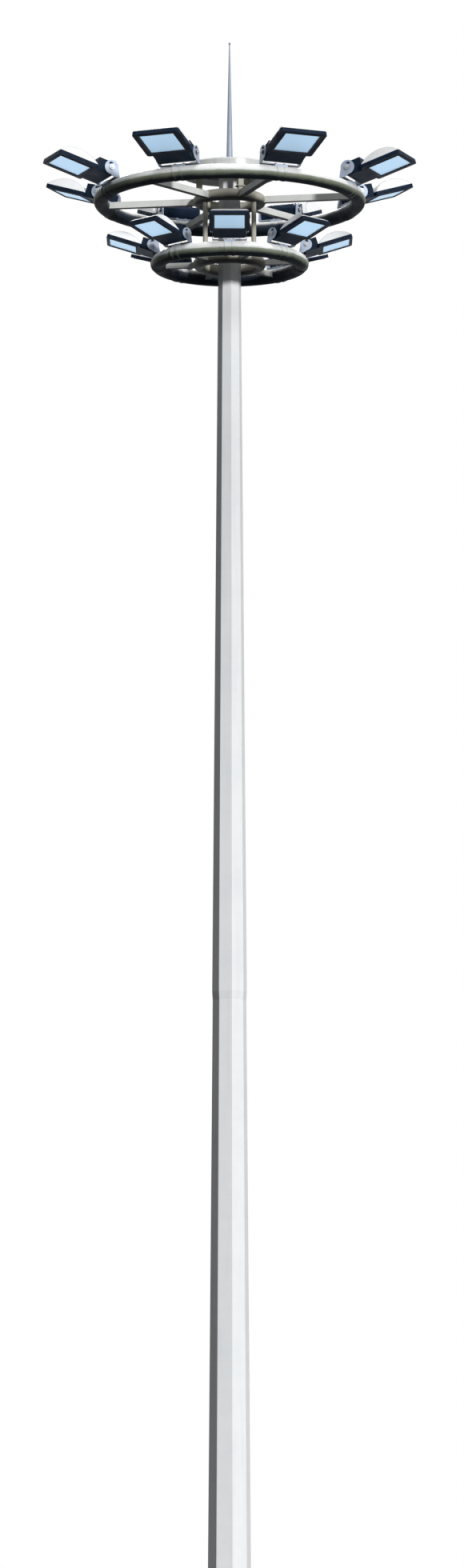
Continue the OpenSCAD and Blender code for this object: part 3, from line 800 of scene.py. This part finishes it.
HOOD_BOLT = (0.024, 0.011)
HOOD_BOLTS_OUT = (0.325, 0.395)
SPIRE_BOLT = (0.017, 0.008)
SPIRE_BOLT_OUT = 0.0515
SPIRE_BOLT_TURNS = [math.radians(45 + 90 * corner) for corner in range(4)]


def lower_corner(height):
    """Corner radius of the lower mast section's outside."""
    return MAST_FOOT_D / 2 - MAST_SLOPE * height


def on_mast_face(face, height, proud=0.0):
    """Frame on a mast face: x runs down the face, y across it and z out of it."""
    turn = Matrix.Rotation(MAST_TURN - math.pi / 2 + (face - 0.5) * 2 * math.pi / MAST_FACES, 4, "Z")
    out = Matrix.Translation((lower_corner(height) * FLAT_RATIO + proud, 0, height))
    return turn @ out @ Matrix.Rotation(math.pi / 2 - FACE_LEAN, 4, "Y")


def collar(name, corner, middle, depth, foot, top, finish):
    """Eight-sided band round the mast, standing out by its own step at foot and top."""
    rest_all()
    bpy.ops.mesh.primitive_cone_add(vertices=MAST_FACES, radius1=corner + foot, radius2=corner + top,
                                    depth=depth, end_fill_type="NOTHING", location=(0, 0, middle),
                                    rotation=(0, 0, MAST_TURN - math.pi / 2))
    band = take(name)
    settle(band)
    modify(band, "SOLIDIFY", thickness=COLLAR_T, offset=-1.0)
    face_outwards(band)
    round_edges(band, COLLAR_ROUND, 1)
    smooth(band, 20)
    paint(band, PAINT[finish])
    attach(band, "mast")


def mast_seams():
    """Weld fillet at the foot, faired collar at the slip joint and weld caps along the sections."""
    collar("foot_weld", lower_corner(FLANGE_T), FLANGE_T + FOOT_WELD_H / 2, FOOT_WELD_H,
           FOOT_WELD_OUT, FOOT_WELD_EDGE, "weld")
    collar("slip_collar", lower_corner(SLIP_Z), SLIP_Z - SLIP_COLLAR_GAP - SLIP_COLLAR_H / 2, SLIP_COLLAR_H,
           SLIP_COLLAR_FOOT, SLIP_STEP - SLIP_COLLAR_INSET, "mast")
    seams = (("lower_seam", LOWER_SEAM, 0.0), ("upper_seam", UPPER_SEAM, SLIP_STEP * FLAT_RATIO))
    for name, (low, high), proud in seams:
        seam = rounded_block(name, (high - low, SEAM_W, SEAM_T), (0, 0, 0), SEAM_ROUND)
        seam.data.transform(on_mast_face(SEAM_FACE, (low + high) / 2, proud))
        smooth(seam)
        paint(seam, PAINT["mast"])
        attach(seam, "mast")


def door_fittings():
    """Screws and lock on the closed service door."""
    pieces = []
    for along in DOOR_SCREWS_ALONG:
        for side in (-1, 1):
            pieces.append(hexagon_head("screw", (along, side * DOOR_SCREW_OUT, DOOR_T), *DOOR_SCREW, "Z"))
    lock = rod("lock", 40, LOCK_R, LOCK_T, (0.0, LOCK_OUT, DOOR_T + LOCK_T / 2))
    round_edges(lock, LOCK_ROUND)
    pieces.append(lock)
    spot = (0.0, LOCK_OUT, DOOR_T + LOCK_BAR_LIFT)
    pieces.append(rounded_block("lock", LOCK_BAR, spot, LOCK_BAR_ROUND, 1))
    fittings = join(pieces, "door_fittings")
    fittings.data.transform(on_mast_face(DOOR_FACE, DOOR_Z))
    smooth(fittings)
    paint(fittings, PAINT["bolt"])
    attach(fittings, "mast")


def hood_trim():
    """Rolled drip edge and standing seams of the rain hood."""
    edge = rod("drip_edge", 160, HOOD_R + DRIP_OUT, DRIP_H, (0, 0, HOOD_Z - HOOD_SKIRT + DRIP_H / 2),
               ends="NOTHING")
    modify(edge, "SOLIDIFY", thickness=DRIP_T, offset=-1.0)
    face_outwards(edge)
    round_edges(edge, DRIP_ROUND)
    pieces = [edge]
    for turn in HOOD_SEAM_TURNS:
        spot = (HOOD_SEAM_OUT, 0, HOOD_TOP + HOOD_SEAM_LIFT)
        rib = rounded_block("standing_seam", HOOD_SEAM, spot, HOOD_SEAM_ROUND)
        rib.data.transform(azimuth(turn))
        pieces.append(rib)
    trim = join(pieces, "hood_trim")
    smooth(trim)
    paint(trim, PAINT["hood"])
    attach(trim, "mast")


def head_bolts():
    """Bolts through the hood into its arms, and round the spire's foot."""
    bolts = []
    for turn in ARM_TURNS:
        for out in HOOD_BOLTS_OUT:
            bolt = hexagon_head("hood_bolt", (out, 0, HOOD_TOP), *HOOD_BOLT, "Z")
            bolt.data.transform(azimuth(turn))
            bolts.append(bolt)
    for turn in SPIRE_BOLT_TURNS:
        bolt = hexagon_head("spire_bolt", (SPIRE_BOLT_OUT, 0, SPIRE_FOOT_TOP), *SPIRE_BOLT, "Z")
        bolt.data.transform(azimuth(turn))
        bolts.append(bolt)
    heads = join(bolts, "head_bolts")
    smooth(heads)
    paint(heads, PAINT["bolt"])
    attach(heads, "mast")


mast_seams()
door_fittings()
hood_trim()
head_bolts()


# Light, floor and camera

FLOOR_R = 2.6
FLOOR_DROP = 0.002
FLOOR_SEEN = (0.86, 0.86, 0.86)
FLOOR_BOUNCE = (0.20, 0.20, 0.20)

# Each light's name, azimuth and height in degrees, strength, and width in degrees
LIGHTS = (("key", 27, 13, 2.66, 6), ("top", 30, 73, 1.7, 25), ("back", 185, 28, 1.6, 20))
LIGHTS_Z = 25
FILL = 0.035
FILL_TINT = (0.82, 0.92, 1.0)
WHITE = (1, 1, 1)
CAMERA_AT = (0.027, -68.2, 1.6)
CAMERA_PITCH = math.radians(90 + 7.92)
CAMERA_LENS = 144.7
CAMERA_SENSOR = 36.0
CAMERA_SIGHT = 500.0


def pale_floor():
    """Floor that looks pale, keeps the shadow and sends little light back up."""
    rest_all()
    bpy.ops.mesh.primitive_circle_add(vertices=96, radius=FLOOR_R, fill_type="NGON",
                                      location=(0, 0, -FLOOR_DROP))
    floor = take("floor")
    pale = bpy.data.materials.new("floor")
    pale.use_nodes = True
    tree = pale.node_tree
    shader = tree.nodes["Principled BSDF"]
    shader.inputs["Roughness"].default_value = 0.9
    looked_at = tree.nodes.new("ShaderNodeLightPath").outputs["Is Camera Ray"]
    tone = blend_colours(tree, looked_at, FLOOR_BOUNCE, FLOOR_SEEN)
    tree.links.new(tone, shader.inputs["Base Color"])
    paint(floor, pale)


def daylight():
    """A low key light from the right, with lights from above and behind."""
    for name, side, height, strength, width in LIGHTS:
        rest_all()
        bpy.ops.object.light_add(type="SUN", location=(0, 0, LIGHTS_Z))
        light = bpy.context.object
        light.name = name
        light.data.energy = strength
        light.data.angle = math.radians(width)
        turn = math.radians(side)
        lift = math.radians(height)
        level = math.cos(lift)
        towards = Vector((math.sin(turn) * level, -math.cos(turn) * level, math.sin(lift)))
        light.rotation_euler = towards.to_track_quat("Z", "Y").to_euler()


def white_background():
    """World that is white where it is seen or mirrored, and a faint cold fill elsewhere."""
    world = bpy.data.worlds.new("studio")
    bpy.context.scene.world = world
    world.use_nodes = True
    tree = world.node_tree
    sky = tree.nodes["Background"]
    path = tree.nodes.new("ShaderNodeLightPath")
    seen = times(tree, path.outputs["Is Camera Ray"], path.outputs["Is Glossy Ray"], "MAXIMUM")
    seen = times(tree, seen, path.outputs["Is Transmission Ray"], "MAXIMUM")
    tree.links.new(span(tree, seen, 0, 1, FILL, 1.0), sky.inputs["Strength"])
    tree.links.new(blend_colours(tree, seen, FILL_TINT, WHITE), sky.inputs["Color"])


def photograph_camera():
    """Long lens at head height, about three and a half tower heights away."""
    rest_all()
    bpy.ops.object.camera_add(location=CAMERA_AT, rotation=(CAMERA_PITCH, 0, 0))
    camera = bpy.context.object
    camera.data.lens = CAMERA_LENS
    camera.data.sensor_width = CAMERA_SENSOR
    camera.data.clip_end = CAMERA_SIGHT
    bpy.context.scene.camera = camera


pale_floor()
daylight()
white_background()
photograph_camera()
bpy.context.scene.view_settings.view_transform = "Standard"
